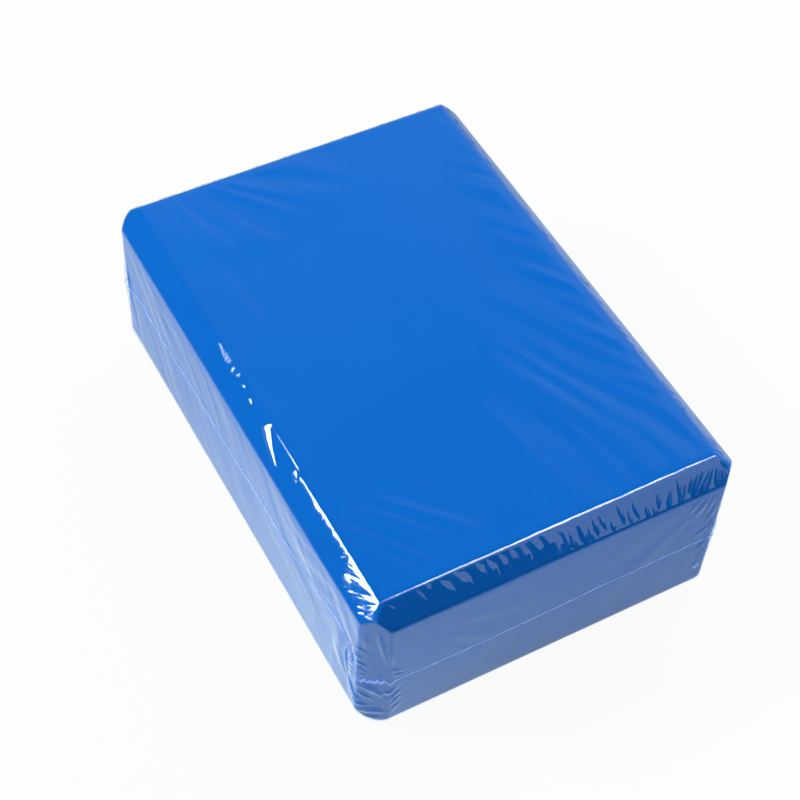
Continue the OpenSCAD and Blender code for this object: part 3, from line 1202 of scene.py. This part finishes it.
def surroundings(scene):
    """White for the camera and a dim even room for the light. What the film mirrors is a dark
    studio with bright walls beside the directions that its flats mirror, so that they stay
    clear and its wrinkles show."""
    world = bpy.data.worlds.new("studio")
    scene.world = world
    world.use_nodes = True
    tree = world.node_tree
    tree.nodes.clear()
    way = node(tree, "ShaderNodeTexCoord").outputs["Generated"]
    total = None
    # direction, where the wall starts and where it is full (by the dot product), strength
    for toward, start, full, strength in STUDIO_WALLS:
        along = node(tree, "ShaderNodeVectorMath", {"operation": "DOT_PRODUCT"}, _0=way, _1=toward)
        wall = node(
            tree,
            "ShaderNodeMapRange",
            Value=along.outputs["Value"],
            From_Min=start,
            From_Max=full,
            To_Min=0.0,
            To_Max=strength,
        ).outputs[0]
        if total is not None:
            wall = node(tree, "ShaderNodeMath", {"operation": "ADD"}, _0=total, _1=wall).outputs[0]
        total = wall
    paths = node(tree, "ShaderNodeLightPath").outputs
    seen = node(
        tree,
        "ShaderNodeMix",
        {"data_type": "FLOAT"},
        _0=paths["Is Glossy Ray"],
        _2=0.03,
        _3=total,
    )
    strength = node(
        tree,
        "ShaderNodeMix",
        {"data_type": "FLOAT"},
        _0=paths["Is Camera Ray"],
        _2=seen.outputs[0],
        _3=1.0,
    )
    light = node(tree, "ShaderNodeBackground", Color=linear("#FFFFFF"), Strength=strength.outputs[0])
    node(tree, "ShaderNodeOutputWorld", Surface=light.outputs[0])


PANEL_WAY = (0.541, -0.517, 0.663)
STUDIO_WALLS = (
    ((0.10, 0.80, 0.59), 0.915, 0.99, 0.22),
    ((0.954, 0.30, 0.00), 0.38, 0.56, 0.08),
    ((0.954, 0.30, 0.00), 0.50, 0.70, 0.34),
)


def softbox(name, way, distance, size, turn, radiance, gives):
    """An area lamp that faces the block: round if what it gives is "all", else rectangular. Its
    power is radiance x area x pi."""
    lamp = bpy.data.lights.new(name, "AREA")
    lamp.shape = "ELLIPSE" if gives == "all" else "RECTANGLE"
    lamp.size, lamp.size_y = size
    lamp.energy = radiance * size[0] * size[1] * math.pi * (math.pi / 4 if gives == "all" else 1)
    thing = bpy.data.objects.new(name, lamp)
    aim = np.array(way) / np.linalg.norm(way)
    thing.location = aim * distance
    thing.rotation_mode = "QUATERNION"
    roll = Quaternion((0, 0, 1), math.radians(turn))
    thing.rotation_quaternion = Vector(aim).to_track_quat("Z", "Y") @ roll
    thing.visible_glossy = gives != "diffuse"
    thing.visible_diffuse = gives != "mirrored"
    bpy.context.scene.collection.objects.link(thing)


def studio_camera():
    """The camera: it looks back along one direction from a distance, turned about that line."""
    azimuth, elevation, roll = (math.radians(v) for v in (-31.146, 51.346, 3.620))
    aim, slide, distance = np.array([0, 0, 38.0]), (-3.565, -4.409), 704.6
    flat = math.cos(elevation)
    back = np.array([math.sin(azimuth) * flat, -math.cos(azimuth) * flat, math.sin(elevation)])
    right = np.array([math.cos(azimuth), math.sin(azimuth), 0])
    up = np.cross(back, right)
    place = (aim + back * distance + right * slide[0] + up * slide[1]) * MM
    across = math.cos(roll) * right + math.sin(roll) * up
    above = -math.sin(roll) * right + math.cos(roll) * up
    lens = bpy.data.cameras.new("studio_camera")
    lens.sensor_width = 36.0
    lens.lens = 80.9
    lens.clip_start, lens.clip_end = 0.01, 20
    thing = bpy.data.objects.new("studio_camera", lens)
    turned = np.eye(4)
    turned[:3, :3] = np.stack([across, above, back], 1)
    turned[:3, 3] = place
    thing.matrix_world = Matrix(turned)
    bpy.context.scene.collection.objects.link(thing)
    return thing


class VIEW3D_PT_foam_block(bpy.types.Panel):
    """The steps and sizes, in the 3D view's sidebar"""

    bl_idname = "VIEW3D_PT_foam_block"
    bl_label = "Foam block"
    bl_space_type = "VIEW_3D"
    bl_region_type = "UI"
    bl_category = "Foam block"

    def draw(self, context):
        for group in (context.scene.foam_sizes, context.scene.film_sizes):
            box = self.layout.box()
            for key in group.__annotations__:
                box.prop(group, key)
        for step in OPERATORS:
            self.layout.operator(step.bl_idname)


GROUPS = {"foam_sizes": FoamSizes, "film_sizes": FilmSizes}
OPERATORS = (
    OBJECT_OT_foam_block_stage,
    OBJECT_OT_foam_block_core,
    OBJECT_OT_foam_block_film,
    OBJECT_OT_foam_block_weld,
)


def register():
    for key, group in GROUPS.items():
        bpy.utils.register_class(group)
        setattr(bpy.types.Scene, key, bpy.props.PointerProperty(type=group))
    for cls in (*OPERATORS, VIEW3D_PT_foam_block):
        bpy.utils.register_class(cls)


def unregister():
    for cls in (VIEW3D_PT_foam_block, *reversed(OPERATORS)):
        bpy.utils.unregister_class(cls)
    for key, group in reversed(GROUPS.items()):
        delattr(bpy.types.Scene, key)
        bpy.utils.unregister_class(group)


def main():
    """Registers the add-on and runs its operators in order."""
    register()
    bpy.ops.object.foam_block_stage()
    bpy.ops.object.foam_block_core()
    bpy.ops.object.foam_block_film()
    bpy.ops.object.foam_block_weld()


if __name__ == "__main__":
    main()
